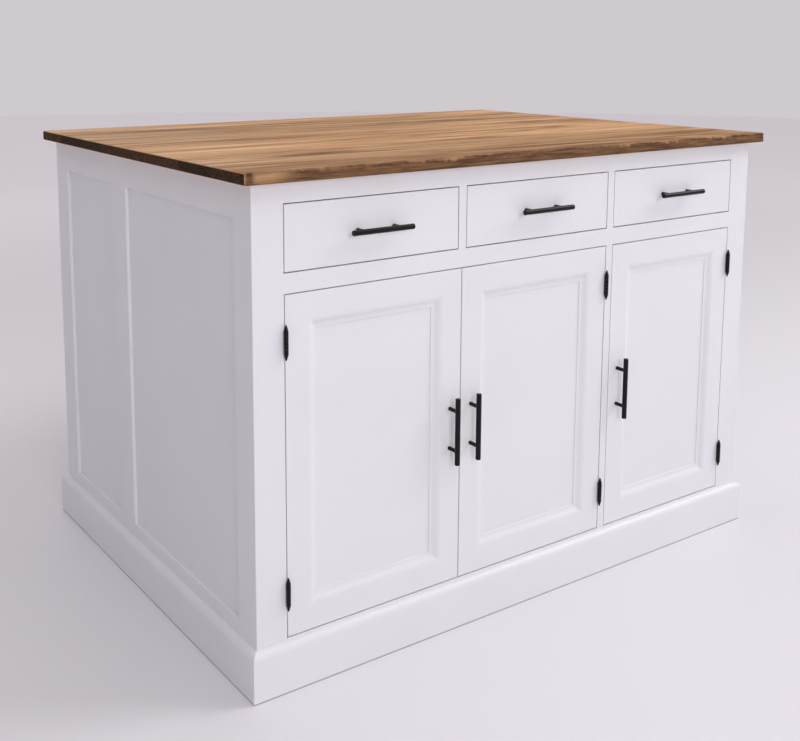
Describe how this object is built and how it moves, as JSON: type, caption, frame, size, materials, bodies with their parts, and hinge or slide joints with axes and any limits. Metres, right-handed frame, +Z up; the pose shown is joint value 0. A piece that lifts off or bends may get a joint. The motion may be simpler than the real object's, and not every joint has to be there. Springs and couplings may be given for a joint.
{
  "type": "kitchen island unit",
  "caption": "Painted kitchen island with a solid oak top, flush drawers over flush moulded panel doors, black bar handles, framed ends and a plinth.",
  "frame": {"origin": "on the floor, at the middle of the overall width and depth", "axes": "+X to the right seen from the front, -Y towards the front, +Z up"},
  "size_m": [1.3, 0.957, 0.9],
  "materials": {
    "painted_wood": "white satin paint",
    "oak_worktop": "stained and oiled oak",
    "pine": "clear matt lacquer on pine",
    "hardwood": "waxed hardwood",
    "black_metal": "black powder coat",
    "steel": "zinc-plated steel",
    "catch_plastic": "dark moulded case"
  },
  "bodies": {
    "carcass": {"worktop": "oak_worktop", "worktop_battens": "pine", "face_stiles": "painted_wood", "face_rail_top": "painted_wood", "face_rail_middle": "painted_wood", "face_rail_bottom": "painted_wood", "drawer_mullions": "painted_wood", "door_mullion": "painted_wood", "end_stiles": "painted_wood", "end_rails": "painted_wood", "end_panels": "painted_wood", "back_stiles": "painted_wood", "back_rails": "painted_wood", "back_panels": "painted_wood", "plinth_front": "painted_wood", "plinth_sides": "painted_wood", "plinth_back": "painted_wood", "cupboard_floor": "painted_wood", "drawer_deck": "painted_wood", "partition": "painted_wood", "runner_boards": "pine", "drawer_runners": "hardwood", "shelves": "painted_wood", "shelf_pins": "steel", "hinge_frame_leaves": "black_metal", "hinge_pins": "black_metal", "magnet_catches": "catch_plastic"},
    "drawer_1": {"drawer_1_front": "painted_wood", "drawer_1_sides": "pine", "drawer_1_back": "pine", "drawer_1_bottom": "pine", "drawer_1_handle": "black_metal"},
    "drawer_2": {"drawer_2_front": "painted_wood", "drawer_2_sides": "pine", "drawer_2_back": "pine", "drawer_2_bottom": "pine", "drawer_2_handle": "black_metal"},
    "drawer_3": {"drawer_3_front": "painted_wood", "drawer_3_sides": "pine", "drawer_3_back": "pine", "drawer_3_bottom": "pine", "drawer_3_handle": "black_metal"},
    "door_1": {"door_1_stiles": "painted_wood", "door_1_rails": "painted_wood", "door_1_panel": "painted_wood", "door_1_hinge_leaves": "black_metal", "door_1_handle": "black_metal", "door_1_strike": "steel"},
    "door_2": {"door_2_stiles": "painted_wood", "door_2_rails": "painted_wood", "door_2_panel": "painted_wood", "door_2_hinge_leaves": "black_metal", "door_2_handle": "black_metal", "door_2_strike": "steel"},
    "door_3": {"door_3_stiles": "painted_wood", "door_3_rails": "painted_wood", "door_3_panel": "painted_wood", "door_3_hinge_leaves": "black_metal", "door_3_handle": "black_metal", "door_3_strike": "steel"}
  },
  "joints": [
    {"name": "drawer_1_slide", "type": "slide", "parent": "carcass", "child": "drawer_1", "axis": [0, -1, 0], "range_m": [0, 0.33]},
    {"name": "drawer_2_slide", "type": "slide", "parent": "carcass", "child": "drawer_2", "axis": [0, -1, 0], "range_m": [0, 0.33]},
    {"name": "drawer_3_slide", "type": "slide", "parent": "carcass", "child": "drawer_3", "axis": [0, -1, 0], "range_m": [0, 0.33]},
    {"name": "door_1_hinge", "type": "hinge", "parent": "carcass", "child": "door_1", "pos_m": [-0.568, -0.4541, 0.393], "axis": [0, 0, -1], "range_deg": [0, 170]},
    {"name": "door_2_hinge", "type": "hinge", "parent": "carcass", "child": "door_2", "pos_m": [0.183, -0.4541, 0.393], "axis": [0, 0, 1], "range_deg": [0, 135]},
    {"name": "door_3_hinge", "type": "hinge", "parent": "carcass", "child": "door_3", "pos_m": [0.568, -0.4541, 0.393], "axis": [0, 0, 1], "range_deg": [0, 170]}
  ]
}
